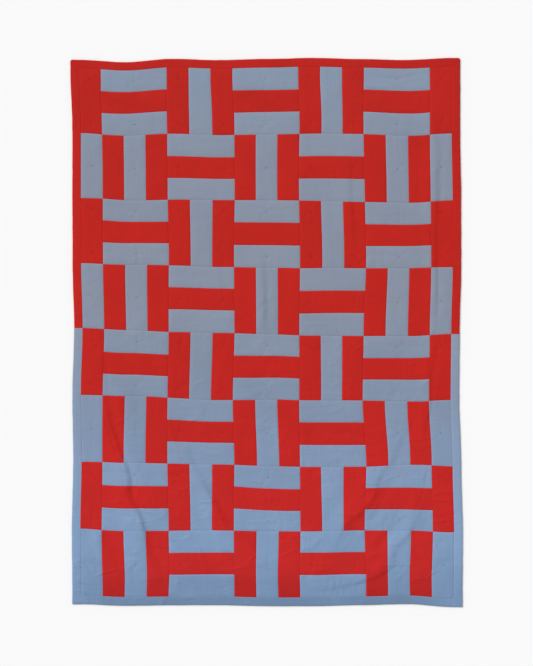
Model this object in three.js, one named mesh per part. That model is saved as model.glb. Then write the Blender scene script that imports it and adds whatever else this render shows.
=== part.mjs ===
// A tied patchwork quilt lying flat and face up, with a wide binding sewn over its edges.
// The top is pieced from rails, equal strips set three to a square block. The rails of one block
// run across the quilt and those of the next run along it, and a strip of the same width closes
// each long side. Thread ties pull the top, the filling and the back together, one in every
// second square of the grid of rails.
//
// Millimetres. +X runs across the quilt, +Y towards its head and +Z up from the surface that it
// lies on. The origin is under the middle of the quilt, at that surface.
//
// Places on the quilt are counted in rails from its lower left corner: u across, v towards the
// head. Both are a little below zero, or past the last rail, under the binding.

import * as THREE from "three";

// Driving dimensions
const railWidth = 89;
const railsPerBlock = 3;
const blocksAcross = 5;
const blocksAlong = 8;
const sideStrips = 1;
const bindingWidth = 35;
const bindingCloth = 1;
const bindingHeight = 5.8;
const foldedEdge = 1;
const sewingGap = 0.3;
const crownRise = 2.2;
const shoulderShare = 0.75;
const tieDip = 0.4;
const tieSpacing = 2;
const firstTie = { u: 0.5, v: 1.5 };

// Where the cross-section of a rail has its points, from one seam to the other.
const railSection = [0, 0.2, 0.5, 0.8, 1];
const railEnd = [0, 0.5, 1];
const halfRail = 0.5;

// Places nearer to each other than this, in rails, are one place.
const samePlace = 0.001;

// Sizes that follow
const railsAcross = blocksAcross * railsPerBlock + 2 * sideStrips;
const railsAlong = blocksAlong * railsPerBlock;
const middleSeam = railsAlong / 2;
const seamHeight = bindingHeight - bindingCloth - sewingGap;
const hiddenUnderside = bindingCloth + sewingGap;
const bindingReach = bindingWidth / railWidth;
const bodyReach = (bindingWidth - bindingCloth - 2 * sewingGap) / railWidth;

// How far hand-made edges stand out from a true rectangle. Head, foot and middle seam are read
// from left to right, and the two sides from head to foot. Middle is how far that seam is raised.
const unevenness = [
  { at: 0.0, head: 1, foot: -5, left: 3, right: -9, middle: 18 },
  { at: 0.125, head: -9, foot: 1, left: -5, right: -9, middle: 10 },
  { at: 0.25, head: 4, foot: -1, left: -5, right: -5, middle: 2 },
  { at: 0.375, head: -1, foot: -1, left: -6, right: -5, middle: -2 },
  { at: 0.5, head: 3, foot: 3, left: -12, right: -11, middle: -6 },
  { at: 0.625, head: 7, foot: 3, left: -5, right: -13, middle: -12 },
  { at: 0.75, head: 3, foot: -1, left: -8, right: -5, middle: -14 },
  { at: 0.875, head: -1, foot: -5, left: -3, right: 1, middle: -12 },
  { at: 1.0, head: 7, foot: 7, left: -5, right: 0, middle: -6 },
];

// Soft folds that lift the quilt off the surface, each along a path of places (u, v). Rise is in
// millimetres. Left and right are how far the fold spreads to its two sides, in rails, seen from
// its first place towards its last. Most folds are steep on one side and gentle on the other.
const folds = [
  {
    name: "left, long",
    path: [[1.0, 9.6], [1.5, 7.2], [2.1, 5.0], [2.75, 3.3], [3.0, 2.2], [3.3, 0.9]],
    rise: 6.6,
    left: 0.45,
    right: 1.2,
  },
  {
    name: "left, its upper end",
    path: [[0.7, 11.5], [0.9, 10.2], [1.2, 8.2]],
    rise: 2,
    left: 0.45,
    right: 1,
  },
  {
    name: "left, beside the long one",
    path: [[1.5, 10.4], [1.8, 8.4], [2.35, 6.2], [3.0, 4.5], [3.75, 2.9]],
    rise: 3,
    left: 1,
    right: 0.45,
  },
  {
    name: "foot, left of centre",
    path: [[4.75, 7.3], [5.8, 4.5], [6.8, 3.15], [8.0, 2.1], [9.3, 1.35]],
    rise: 6.8,
    left: 0.45,
    right: 0.9,
  },
  {
    name: "foot, beside the left one",
    path: [[5.55, 6.3], [6.35, 4.8], [7.3, 3.55], [8.4, 2.7]],
    rise: 2.5,
    left: 0.9,
    right: 0.45,
  },
  {
    name: "foot, right",
    path: [[14.7, 7.8], [14.0, 6.4], [13.15, 4.6], [12.05, 3.1], [11.3, 2.1]],
    rise: 4.5,
    left: 0.45,
    right: 1.1,
  },
  {
    name: "right corner",
    path: [[15.6, 4.6], [14.5, 2.4], [13.9, 1.5], [13.2, 0.85], [12.0, 0.5], [10.6, 0.35]],
    rise: 4.5,
    left: 0.45,
    right: 0.8,
  },
  {
    name: "along the foot",
    path: [[1.2, 1.05], [5.0, 0.95], [9.0, 0.9], [12.5, 1.0]],
    rise: 6,
    left: 1.5,
    right: 0.9,
  },
  {
    name: "left corner",
    path: [[0.5, 3.6], [0.9, 2.4], [1.6, 1.3]],
    rise: 5.5,
    left: 0.5,
    right: 0.8,
  },
  {
    name: "right side, upper",
    path: [[16.1, 21.6], [16.15, 17.0], [16.1, 12.4]],
    rise: 4,
    left: 0.45,
    right: 0.7,
  },
  {
    name: "right side, lower",
    path: [[16.1, 11.8], [16.0, 9.4], [15.6, 7.0]],
    rise: 2.4,
    left: 0.45,
    right: 0.7,
  },
  {
    name: "upper right",
    path: [[12.1, 20.0], [12.2, 18.0], [12.35, 15.8]],
    rise: 3.2,
    left: 0.45,
    right: 0.8,
  },
  {
    name: "centre",
    path: [[8.2, 15.6], [8.3, 13.8], [8.42, 11.9]],
    rise: 3.2,
    left: 0.45,
    right: 0.8,
  },
];
const foldTaper = 0.3;

const redCotton = new THREE.MeshStandardMaterial({ color: 0xbd2924, roughness: 0.92, metalness: 0 });
const blueCotton = new THREE.MeshStandardMaterial({ color: 0x8696b0, roughness: 0.92, metalness: 0 });

const { clamp, lerp, smoothstep } = THREE.MathUtils;

// One column of the unevenness table, read smoothly between its rows.
function readEdge(column, at) {
  const next = Math.max(1, unevenness.findIndex((row) => row.at >= at - samePlace));
  const before = unevenness[next - 1];
  const after = unevenness[next];
  return lerp(before[column], after[column], smoothstep(at, before.at, after.at));
}

// A crossing of the grid of rails, with the edges' unevenness spread over the whole quilt.
function crossing(u, v) {
  const across = u / railsAcross;
  const down = 1 - v / railsAlong;
  const middle = readEdge("middle", across);
  const end = v < middleSeam ? -readEdge("foot", across) : readEdge("head", across);
  const fromMiddle = Math.abs(v - middleSeam) / middleSeam;
  return new THREE.Vector2(
    (u - railsAcross / 2) * railWidth + lerp(-readEdge("left", down), readEdge("right", down), across),
    (v - middleSeam) * railWidth + lerp(middle, end, fromMiddle),
  );
}

// Any place on the quilt or its binding, straight between crossings and straight on past the last.
function spread(u, v) {
  const i = clamp(Math.floor(u), 0, railsAcross - 1);
  const j = clamp(Math.floor(v), 0, railsAlong - 1);
  const lower = crossing(i, j).lerp(crossing(i + 1, j), u - i);
  const upper = crossing(i, j + 1).lerp(crossing(i + 1, j + 1), u - i);
  return lower.lerp(upper, v - j);
}

// The middle of the whole outline, which the origin lies under.
function outlineMiddle() {
  const outline = new THREE.Box2();
  for (let u = 0; u <= railsAcross; u++) {
    outline.expandByPoint(spread(u, -bindingReach));
    outline.expandByPoint(spread(u, railsAlong + bindingReach));
  }
  for (let v = 0; v <= railsAlong; v++) {
    outline.expandByPoint(spread(-bindingReach, v));
    outline.expandByPoint(spread(railsAcross + bindingReach, v));
  }
  for (const u of [-bindingReach, railsAcross + bindingReach]) {
    for (const v of [-bindingReach, railsAlong + bindingReach]) outline.expandByPoint(spread(u, v));
  }
  return outline.getCenter(new THREE.Vector2());
}
const middleOfOutline = outlineMiddle();

function place(u, v, z) {
  const flat = spread(u, v).sub(middleOfOutline);
  return new THREE.Vector3(flat.x, flat.y, z);
}

// How far in from the binding a place lies, in rails.
function inset(u, v) {
  return Math.min(u, railsAcross - u, v, railsAlong - v);
}

// The height that the folds add at one place: a rounded ridge that fades at its ends, its sides
// and the binding.
function foldHeight(u, v) {
  const here = new THREE.Vector3(u, v, 0);
  let height = 0;
  for (const fold of folds) {
    const corners = fold.path.map(([cu, cv]) => new THREE.Vector3(cu, cv, 0));
    let nearest = Infinity;
    let reach = fold.left;
    let along = 0;
    let length = 0;
    for (let i = 1; i < corners.length; i++) {
      const line = new THREE.Line3(corners[i - 1], corners[i]);
      const share = line.closestPointToPointParameter(here, true);
      const away = line.at(share, new THREE.Vector3()).distanceTo(here);
      if (away < nearest) {
        nearest = away;
        along = length + share * line.distance();
        const turn = line.delta(new THREE.Vector3()).cross(here.clone().sub(corners[i - 1]));
        reach = turn.z > 0 ? fold.left : fold.right;
      }
      length += line.distance();
    }
    const ridge = nearest < reach ? (1 + Math.cos((Math.PI * nearest) / reach)) / 2 : 0;
    const taper = smoothstep(Math.min(along, length - along) / length, -foldTaper, foldTaper);
    height += fold.rise * ridge * taper;
  }
  return height * smoothstep(inset(u, v), 0, 1);
}

// The fold height at any place, straight between the points that stand half a rail apart.
function lift(u, v) {
  const i = clamp(Math.floor(u / halfRail), 0, railsAcross / halfRail - 1) * halfRail;
  const j = clamp(Math.floor(v / halfRail), 0, railsAlong / halfRail - 1) * halfRail;
  const s = clamp((u - i) / halfRail, 0, 1);
  const t = clamp((v - j) / halfRail, 0, 1);
  return lerp(
    lerp(foldHeight(i, j), foldHeight(i + halfRail, j), s),
    lerp(foldHeight(i, j + halfRail), foldHeight(i + halfRail, j + halfRail), s),
    t,
  );
}

// The back lies on the surface, and rises at its rim to pass over the turned-under binding.
function backHeight(u, v) {
  return lift(u, v) + hiddenUnderside * (1 - smoothstep(inset(u, v), 0, halfRail));
}

function isTied(u, v) {
  const offTie = (at, first) => Math.abs(at - first) % tieSpacing;
  return offTie(u, firstTie.u) < samePlace && offTie(v, firstTie.v) < samePlace;
}

// How far the top stands above its seams, at a place that is share of the way across its rail.
function padding(u, v, share) {
  if (isTied(u, v)) return -tieDip;
  const fromSeam = Math.min(share, 1 - share);
  if (fromSeam < samePlace) return 0;
  return fromSeam < railSection[2] ? crownRise * shoulderShare : crownRise;
}

// Collects shared points and triangles, and gives them back as one closed geometry.
class Surface {
  constructor() {
    this.points = [];
    this.triangles = [];
    this.known = new Map();
  }

  point(key, position) {
    if (!this.known.has(key)) {
      this.known.set(key, this.points.length);
      this.points.push(position);
    }
    return this.known.get(key);
  }

  // Fills the band between two rows of points that run the same way. Each entry of a row has its
  // point and how far along the row it is.
  band(left, right) {
    let l = 0;
    let r = 0;
    while (l < left.length - 1 || r < right.length - 1) {
      const nextLeft = l < left.length - 1 ? left[l + 1].at : Infinity;
      const nextRight = r < right.length - 1 ? right[r + 1].at : Infinity;
      if (nextLeft <= nextRight) {
        this.triangles.push(left[l].point, right[r].point, left[l + 1].point);
        l++;
      } else {
        this.triangles.push(left[l].point, right[r].point, right[r + 1].point);
        r++;
      }
    }
  }

  geometry() {
    const made = new THREE.BufferGeometry().setFromPoints(this.points);
    made.setIndex(this.triangles);
    if (this.volume() < 0) {
      made.setIndex(this.triangles.toReversed());
    }
    made.computeVertexNormals();
    return made;
  }

  volume() {
    let sixVolumes = 0;
    for (let n = 0; n < this.triangles.length; n += 3) {
      const [a, b, c] = this.triangles.slice(n, n + 3).map((index) => this.points[index]);
      sixVolumes += a.dot(b.clone().cross(c));
    }
    return sixVolumes / 6;
  }
}

// The rails of the pieced top: where each starts, which way it runs, and its length in rails.
function rails() {
  const list = [];
  for (let row = 0; row < blocksAlong; row++) {
    const v = row * railsPerBlock;
    for (let column = 0; column < blocksAcross; column++) {
      const u = sideStrips + column * railsPerBlock;
      const runsAcross = (row + column) % 2 === 1;
      for (let n = 0; n < railsPerBlock; n++) {
        list.push(runsAcross ? { u, v: v + n, runsAcross } : { u: u + n, v, runsAcross });
      }
    }
    list.push({ u: 0, v, runsAcross: false });
    list.push({ u: railsAcross - sideStrips, v, runsAcross: false });
  }
  return list;
}

// A point of the quilt's top or back, shared by every face that meets there.
function bodyPoint(surface, side, u, v, z) {
  const key = `${side} ${Math.round(u / samePlace)} ${Math.round(v / samePlace)}`;
  return surface.point(key, place(u, v, z));
}

// The padded top of one rail, built up along its length.
function addRail(surface, rail) {
  const steps = railsPerBlock / halfRail;
  let before = null;
  for (let step = 0; step <= steps; step++) {
    const along = step * halfRail;
    const atEnd = step === 0 || step === steps;
    const row = (atEnd ? railEnd : railSection).map((share) => {
      const u = rail.u + (rail.runsAcross ? along : share);
      const v = rail.v + (rail.runsAcross ? share : along);
      const z = lift(u, v) + seamHeight + (atEnd ? 0 : padding(u, v, share));
      return { at: share, point: bodyPoint(surface, "top", u, v, z) };
    });
    if (before) surface.band(...(rail.runsAcross ? [row, before] : [before, row]));
    before = row;
  }
}

// The back, a grid of points half a rail apart.
function addBack(surface) {
  let before = null;
  for (let v = 0; v <= railsAlong; v += halfRail) {
    const row = [];
    for (let u = 0; u <= railsAcross; u += halfRail) {
      row.push({ at: u, point: bodyPoint(surface, "back", u, v, backHeight(u, v)) });
    }
    if (before) surface.band(row, before);
    before = row;
  }
}

// A ring of places round the quilt, half a rail apart, pushed outwards from the rails' edge.
// Its four corners move out both ways, so that rings of different reach join by a mitre.
function ring(reach) {
  const places = [];
  const right = railsAcross;
  const head = railsAlong;
  for (let u = halfRail; u < right; u += halfRail) places.push([u, -reach]);
  places.push([right + reach, -reach]);
  for (let v = halfRail; v < head; v += halfRail) places.push([right + reach, v]);
  places.push([right + reach, head + reach]);
  for (let u = right - halfRail; u > 0; u -= halfRail) places.push([u, head + reach]);
  places.push([-reach, head + reach]);
  for (let v = head - halfRail; v > 0; v -= halfRail) places.push([-reach, v]);
  places.push([-reach, -reach]);
  places.push(places[0]);
  return places;
}

// The rim that the binding covers: its top, its outer edge and its underside.
function addRim(surface) {
  const row = (side, reach, z) =>
    ring(reach).map(([u, v], at) => ({ at, point: bodyPoint(surface, side, u, v, z) }));
  const rows = [
    row("top", 0, seamHeight),
    row("top", bodyReach, seamHeight),
    row("back", bodyReach, hiddenUnderside),
    row("back", 0, hiddenUnderside),
  ];
  for (let n = 1; n < rows.length; n++) surface.band(rows[n], rows[n - 1]);
}

function quiltBody() {
  const surface = new Surface();
  rails().forEach((rail) => addRail(surface, rail));
  addBack(surface);
  addRim(surface);
  return surface.geometry();
}

// The binding's section: cloth folded round the quilt's edge. Out is measured from its sewn edge.
const bindingSection = [
  { out: 0, z: bindingHeight },
  { out: bindingWidth - foldedEdge, z: bindingHeight },
  { out: bindingWidth, z: bindingHeight / 2 },
  { out: bindingWidth - foldedEdge, z: 0 },
  { out: 0, z: 0 },
  { out: 0, z: bindingCloth },
  { out: bindingWidth - bindingCloth - sewingGap, z: bindingCloth },
  { out: bindingWidth - bindingCloth - sewingGap, z: bindingHeight - bindingCloth },
  { out: 0, z: bindingHeight - bindingCloth },
];

// One strip of binding along an edge, between two places counted in rails. An end at a corner is
// cut on the mitre, and an end on the middle seam is square.
function bindingStrip({ side, from, to }) {
  const surface = new Surface();
  const length = side === "head" || side === "foot" ? railsAcross : railsAlong;
  const mitreGap = sewingGap / Math.SQRT2 / railWidth;
  const seamGap = sewingGap / 2 / railWidth;
  const places = [from];
  for (let n = Math.floor(from) + 1; n < to; n++) places.push(n);
  places.push(to);
  const rows = places.map((along) =>
    bindingSection.map(({ out, z }) => {
      const reach = out / railWidth;
      let s = along;
      if (along === 0) s = mitreGap - reach;
      if (along === length) s = length - mitreGap + reach;
      if (length === railsAlong && along === middleSeam) s += from === middleSeam ? seamGap : -seamGap;
      const spot = {
        head: [s, railsAlong + reach],
        foot: [s, -reach],
        left: [-reach, s],
        right: [railsAcross + reach, s],
      }[side];
      return place(...spot, z);
    }),
  );
  const entries = rows.map((row, r) =>
    row.map((position, at) => ({ at, point: surface.point(`${r} ${at}`, position) })),
  );
  const closed = (row) => [...row, { at: row.length, point: row[0].point }];
  for (let r = 1; r < entries.length; r++) surface.band(closed(entries[r - 1]), closed(entries[r]));
  const outline = bindingSection.map(({ out, z }) => new THREE.Vector2(out, z));
  const clockwise = THREE.ShapeUtils.area(outline) < 0;
  for (const corners of THREE.ShapeUtils.triangulateShape(outline, [])) {
    const [a, b, c] = clockwise === isClockwise(outline, corners) ? corners : corners.toReversed();
    const first = entries[0];
    const last = entries.at(-1);
    surface.triangles.push(first[a].point, first[b].point, first[c].point);
    surface.triangles.push(last[c].point, last[b].point, last[a].point);
  }
  return surface.geometry();
}

function isClockwise(outline, corners) {
  return THREE.ShapeUtils.area(corners.map((corner) => outline[corner])) < 0;
}

const bindingStrips = [
  { name: "binding_head", side: "head", from: 0, to: railsAcross, cloth: redCotton },
  { name: "binding_left_upper", side: "left", from: middleSeam, to: railsAlong, cloth: redCotton },
  { name: "binding_right_upper", side: "right", from: middleSeam, to: railsAlong, cloth: redCotton },
  { name: "binding_left_lower", side: "left", from: 0, to: middleSeam, cloth: blueCotton },
  { name: "binding_right_lower", side: "right", from: 0, to: middleSeam, cloth: blueCotton },
  { name: "binding_foot", side: "foot", from: 0, to: railsAcross, cloth: blueCotton },
];

const quilt = new THREE.Group();

function add(name, geometry, cloth) {
  const mesh = new THREE.Mesh(geometry, cloth);
  mesh.name = name;
  quilt.add(mesh);
}

add("quilt_body", quiltBody(), blueCotton);
for (const strip of bindingStrips) add(strip.name, bindingStrip(strip), strip.cloth);

export default quilt;
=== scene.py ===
# A tied patchwork quilt laid flat on a pale floor and seen from straight above.
# Lengths are in metres. Places on the quilt are counted in rails from its lower left corner,
# u across it and v towards its head.

import math

import bpy
import numpy as np
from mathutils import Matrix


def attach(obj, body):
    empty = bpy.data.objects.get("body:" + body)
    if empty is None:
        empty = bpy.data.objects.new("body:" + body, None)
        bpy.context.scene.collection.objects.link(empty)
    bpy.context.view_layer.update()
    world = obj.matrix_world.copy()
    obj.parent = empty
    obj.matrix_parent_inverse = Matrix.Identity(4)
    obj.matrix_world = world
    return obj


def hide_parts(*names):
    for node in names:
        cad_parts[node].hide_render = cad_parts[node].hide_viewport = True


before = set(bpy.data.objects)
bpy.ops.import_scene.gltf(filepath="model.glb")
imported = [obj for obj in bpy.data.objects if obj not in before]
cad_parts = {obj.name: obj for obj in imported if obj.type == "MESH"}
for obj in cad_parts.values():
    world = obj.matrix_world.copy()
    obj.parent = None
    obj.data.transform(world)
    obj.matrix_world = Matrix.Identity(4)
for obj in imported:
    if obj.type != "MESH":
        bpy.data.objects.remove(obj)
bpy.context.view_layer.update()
print("solids loaded")


# The picture: where the quilt stands in it, and how high the camera hangs over the quilt.
picture = {
    "width": 533,
    "height": 666,
    "metresPerPixel": 0.004045,
    "quiltMiddle": (266.5, 332.5),
    "cameraHeight": 6.0,
    "sensor": 36.0,
}


def addCamera(p):
    data = bpy.data.cameras.new("camera")
    camera = bpy.data.objects.new("camera", data)
    bpy.context.scene.collection.objects.link(camera)
    data.sensor_fit = "VERTICAL"
    data.sensor_height = p["sensor"]
    data.lens = p["sensor"] * p["cameraHeight"] / (p["height"] * p["metresPerPixel"])
    data.clip_end = 1000
    sideways = (p["width"] / 2 - p["quiltMiddle"][0]) * p["metresPerPixel"]
    upwards = (p["quiltMiddle"][1] - p["height"] / 2) * p["metresPerPixel"]
    camera.location = (sideways, upwards, p["cameraHeight"])
    bpy.context.scene.camera = camera


addCamera(picture)


# Shader trees. A Wire is one output of a node, and sums on Wires add their Math nodes.
class Wire:
    def __init__(self, paint, socket):
        self.paint = paint
        self.socket = socket

    def maths(self, operation, first, second=0.0):
        return self.paint.add("ShaderNodeMath", {"operation": operation}, {0: first, 1: second})

    def __add__(self, other):
        return self.maths("ADD", self, other)

    def __radd__(self, other):
        return self.maths("ADD", other, self)

    def __sub__(self, other):
        return self.maths("SUBTRACT", self, other)

    def __rsub__(self, other):
        return self.maths("SUBTRACT", other, self)

    def __mul__(self, other):
        return self.maths("MULTIPLY", self, other)

    def __rmul__(self, other):
        return self.maths("MULTIPLY", other, self)

    def __truediv__(self, other):
        return self.maths("DIVIDE", self, other)

    def __rtruediv__(self, other):
        return self.maths("DIVIDE", other, self)

    def __rpow__(self, other):
        return self.maths("POWER", other, self)

    def sine(self):
        return self.maths("SINE", self)

    def size(self):
        return self.maths("ABSOLUTE", self)

    def atLeast(self, limit):
        return self.maths("MAXIMUM", self, limit)

    def between(self, low, high):  # rises from 0 at low to 1 at high
        return self.maths("MINIMUM", ((self - low) / (high - low)).atLeast(0.0), 1.0)


class Paint:  # the nodes of a material, or of the sky
    def __init__(self, owner):
        owner.use_nodes = True
        self.owner = owner
        self.tree = owner.node_tree
        self.tree.nodes.clear()

    def add(self, kind, settings=None, sockets=None, out=0):
        node = self.tree.nodes.new(kind)
        for name, value in (settings or {}).items():
            if name == "stops":
                while len(node.color_ramp.elements) < len(value):
                    node.color_ramp.elements.new(1.0)
                for stop, (at, colour) in zip(node.color_ramp.elements, value):
                    stop.position = at
                    stop.color = colour
            else:
                setattr(node, name, value)
        for name, value in (sockets or {}).items():
            if isinstance(value, Wire):
                self.tree.links.new(value.socket, node.inputs[name])
            else:
                node.inputs[name].default_value = value
        return Wire(self, node.outputs[out]) if len(node.outputs) else None

    def mix(self, share, first, second, mode="MIX"):
        settings = {"data_type": "RGBA", "blend_type": mode, "clamp_factor": True}
        return self.add("ShaderNodeMix", settings, {0: share, 6: first, 7: second}, 2)

    def part(self, vector, axis):
        return self.add("ShaderNodeSeparateXYZ", {}, {0: vector}, axis)

    def attribute(self, name):
        return self.add("ShaderNodeAttribute", {"attribute_name": name}, {}, "Fac")

    def noise(self, where, scale, detail=2.0, roughness=0.5):
        sockets = {"Vector": where, "Scale": scale, "Detail": detail, "Roughness": roughness}
        return self.add("ShaderNodeTexNoise", {}, sockets, "Fac")

    def stretchedNoise(self, where, scale, detail=1.0, shift=(0.0, 0.0, 0.0)):
        sockets = {"Vector": where, "Scale": scale, "Location": shift}
        return self.noise(self.add("ShaderNodeMapping", {}, sockets), 1.0, detail)

    def finish(self, surface, kind="ShaderNodeOutputMaterial"):
        self.add(kind, {}, {"Surface": surface})
        return self.owner


lightOnCloth = 1.085  # how much brighter a cloth comes out in this room than its own colour


def fromScreen(*colour):
    # a colour as the screen shows it in this room, from 0 to 255, turned into the cloth's own
    def one(value):
        value /= 255
        return (value / 12.92 if value <= 0.04045 else ((value + 0.055) / 1.055) ** 2.4) / lightOnCloth

    return (*map(one, colour), 1.0)


# Cotton as it looks in this light, from the head of the quilt to its foot. Its cooler shift towards
# the foot is the light's painted cast, and its darker last stop at the foot is painted shade. Cloud is
# the colour that it drifts to in soft patches, and worn is how much brighter it is along a seam.
redCloth = {
    "name": "brickRedCotton",
    "fromHeadToFoot": [
        (0.0, (188, 36, 30)),
        (0.3, (190, 35, 28)),
        (0.6, (191, 35, 30)),
        (0.85, (195, 37, 35)),
        (0.95, (192, 38, 37)),
        # painted shade along the foot
        (1.0, (180, 34, 34)),
    ],
    "cloud": (178, 34, 28),
    "worn": 0.06,
    "sheenTint": (0.8, 0.25, 0.2, 1.0),
}
blueCloth = {
    "name": "dustyBlueCotton",
    "fromHeadToFoot": [
        (0.0, (134, 150, 171)),
        (0.16, (135, 145, 162)),
        (0.45, (135, 145, 162)),
        (0.6, (130, 145, 167)),
        (0.75, (129, 150, 180)),
        (0.9, (127, 154, 188)),
        # painted shade along the foot
        (1.0, (120, 146, 180)),
    ],
    "cloud": (136, 143, 165),
    "worn": 0.10,
    "sheenTint": (0.6, 0.7, 0.9, 1.0),
}

# How the colour of both varies. A scale says how often a pattern repeats in a metre, and one with
# three numbers is for the weave's own map: along the thread, across it, and not used.
shades = {
    "headY": 1.06,
    "cloudScale": 7.0,
    "cloudFrom": (0.45, 0.70),
    "clouds": 0.7,
    "streakScale": (5.0, 190.0, 1.0),
    "streaks": 0.11,
    "bandScale": (2.5, 40.0, 1.0),
    "bands": 0.05,
    "fleckScale": (220.0, 420.0, 1.0),
    "flecks": 0.13,
    "fadedScale": 4.5,
    "faded": 0.06,
    "fadedAtFoot": 0.16,
    "wornWidth": 0.004,
    "roughness": 0.93,
    "specular": 0.12,
    "sheen": 0.05,
}

# The cloth's relief in metres: its crossing threads, thicker threads here and there, puckers that
# run off the seams, soft wrinkles, gathers in places, and short crisp wrinkles towards the foot,
# whose crispScale is along the quilt's own x, y and z.
reliefs = {
    "threadPitch": 0.0011,
    "threads": 0.00008,
    "slubs": 0.00025,
    "puckerScale": (1 / 0.013, 9.0, 1.0),
    "puckerReach": 0.014,
    "puckers": 0.0005,
    "wrinkleScale": 22.0,
    "wrinkles": 0.0013,
    "gatherScale": (1 / 0.018, 15.0, 1.0),
    "gatherPlaces": 5.0,
    "gatherFrom": (0.48, 0.6467),
    "gatherAtHead": 0.2,
    "gathers": 0.0040,
    "crispScale": (8.0, 17.0, 17.0),
    "crispPlaces": 9.0,
    "crispFrom": (0.5, 0.625),
    "crispness": 11.0,
    "crispTowardsFoot": 1.6,
    "crispStart": 0.35,
    "crisps": 0.0019,
}


def shareToFoot(paint, where):
    return 0.5 - paint.part(where, 1) / (2 * shades["headY"])


# the cotton's ramp, with the light's painted cast and painted shade at the foot
def headToFoot(paint, cloth, share, brightness=1.0):
    stops = [(at, fromScreen(*(c * brightness for c in shade))) for at, shade in cloth["fromHeadToFoot"]]
    return paint.add("ShaderNodeValToRGB", {"stops": stops}, {"Fac": share}, "Color")


def cottonColour(paint, cloth, s, at):
    colour = headToFoot(paint, cloth, at["towardsFoot"])
    clouds = paint.noise(at["object"], s["cloudScale"], 3.0).between(*s["cloudFrom"])
    clouds = clouds * (1.0 - at["towardsFoot"]) * s["clouds"]
    colour = paint.mix(clouds, colour, fromScreen(*cloth["cloud"]))
    bands = paint.stretchedNoise(at["weave"], s["bandScale"], shift=(4.0, 7.0, 0.0))
    flecks = paint.stretchedNoise(at["weave"], s["fleckScale"])
    brightness = 1.0 + (at["streaks"] - 0.5) * s["streaks"] + (bands - 0.5) * s["bands"]
    brightness = brightness + (flecks - 0.5) * s["flecks"] + paint.attribute("tone")
    faded = paint.noise(at["object"], s["fadedScale"], 3.0) - 0.5
    brightness = brightness + faded * (s["faded"] + at["towardsFoot"] * s["fadedAtFoot"])
    brightness = brightness + (1.0 - at["seam"] / s["wornWidth"]).atLeast(0.0) * cloth["worn"]
    return paint.mix(1.0, colour, brightness, "MULTIPLY")


def cottonRelief(paint, r, at):
    turn = 2 * math.pi / r["threadPitch"]
    along, across = paint.part(at["weave"], 0), paint.part(at["weave"], 1)
    threads = (along * turn).sine() * (across * turn).sine() * r["threads"]
    slubs = (at["streaks"] - 0.5) * r["slubs"]
    nearSeam = math.e ** (at["seam"] * (-1 / r["puckerReach"]))
    puckers = (paint.stretchedNoise(at["weave"], r["puckerScale"]) - 0.5) * nearSeam * r["puckers"]
    wrinkles = (paint.noise(at["object"], r["wrinkleScale"], 3.0, 0.55) - 0.5) * r["wrinkles"]
    gathers = paint.stretchedNoise(at["weave"], r["gatherScale"], 2.0, (2.0, 5.0, 0.0)) - 0.5
    inPlaces = paint.noise(at["object"], r["gatherPlaces"], 2.0).between(*r["gatherFrom"])
    gathers = gathers * inPlaces * (r["gatherAtHead"] + at["towardsFoot"]) * r["gathers"]
    # a crisp wrinkle runs where a soft noise crosses its middle
    crossing = (paint.stretchedNoise(at["object"], r["crispScale"]) - 0.5).size()
    inPlaces = paint.noise(at["object"], r["crispPlaces"], 1.0).between(*r["crispFrom"])
    more = (at["towardsFoot"] * r["crispTowardsFoot"] - r["crispStart"]).atLeast(0.0)
    crisps = (1.0 - crossing * r["crispness"]).atLeast(0.0) * inPlaces * more * r["crisps"]
    return threads + slubs + puckers + wrinkles + gathers + crisps


def cotton(cloth):
    paint = Paint(bpy.data.materials.new(cloth["name"]))
    where = paint.add("ShaderNodeTexCoord", {}, {}, "Object")
    weaveMap = paint.add("ShaderNodeUVMap", {"uv_map": "weave"})
    at = {
        "object": where,
        "weave": weaveMap,
        "seam": paint.attribute("seam"),
        "streaks": paint.stretchedNoise(weaveMap, shades["streakScale"], 2.0),
        "towardsFoot": shareToFoot(paint, where),
    }
    relief = cottonRelief(paint, reliefs, at)
    bump = paint.add("ShaderNodeBump", {}, {"Strength": 0.8, "Distance": 1.0, "Height": relief})
    sockets = {
        "Base Color": cottonColour(paint, cloth, shades, at),
        "Roughness": shades["roughness"],
        "Specular IOR Level": shades["specular"],
        "Sheen Weight": shades["sheen"],
        "Sheen Roughness": 0.5,
        "Sheen Tint": cloth["sheenTint"],
        "Normal": bump,
    }
    return paint.finish(paint.add("ShaderNodeBsdfPrincipled", {}, sockets))


redCotton = cotton(redCloth)
blueCotton = cotton(blueCloth)
print("cottons mixed")


# The quilt's own sizes, and how far its hand-made edges and middle seam stand out from a true
# rectangle. Head, foot and middle are read from left to right, and the sides from head to foot.
quilt = {
    "railWidth": 0.089,
    "railsPerBlock": 3,
    "blocksAcross": 5,
    "blocksAlong": 8,
    "sideStrips": 1,
    "bindingWidth": 0.035,
    "tieSpacing": 2,
    "firstTie": (0.5, 1.5),
}
unevenness = {
    "at": [0.0, 0.125, 0.25, 0.375, 0.5, 0.625, 0.75, 0.875, 1.0],
    "head": [0.001, -0.009, 0.004, -0.001, 0.003, 0.007, 0.003, -0.001, 0.007],
    "foot": [-0.005, 0.001, -0.001, -0.001, 0.003, 0.003, -0.001, -0.005, 0.007],
    "left": [0.003, -0.005, -0.005, -0.006, -0.012, -0.005, -0.008, -0.003, -0.005],
    "right": [-0.009, -0.009, -0.005, -0.005, -0.011, -0.013, -0.005, 0.001, 0.0],
    "middle": [0.018, 0.010, 0.002, -0.002, -0.006, -0.012, -0.014, -0.012, -0.006],
}
railsAcross = quilt["blocksAcross"] * quilt["railsPerBlock"] + 2 * quilt["sideStrips"]
railsAlong = quilt["blocksAlong"] * quilt["railsPerBlock"]
middleSeam = railsAlong / 2
bindingReach = quilt["bindingWidth"] / quilt["railWidth"]

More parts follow.
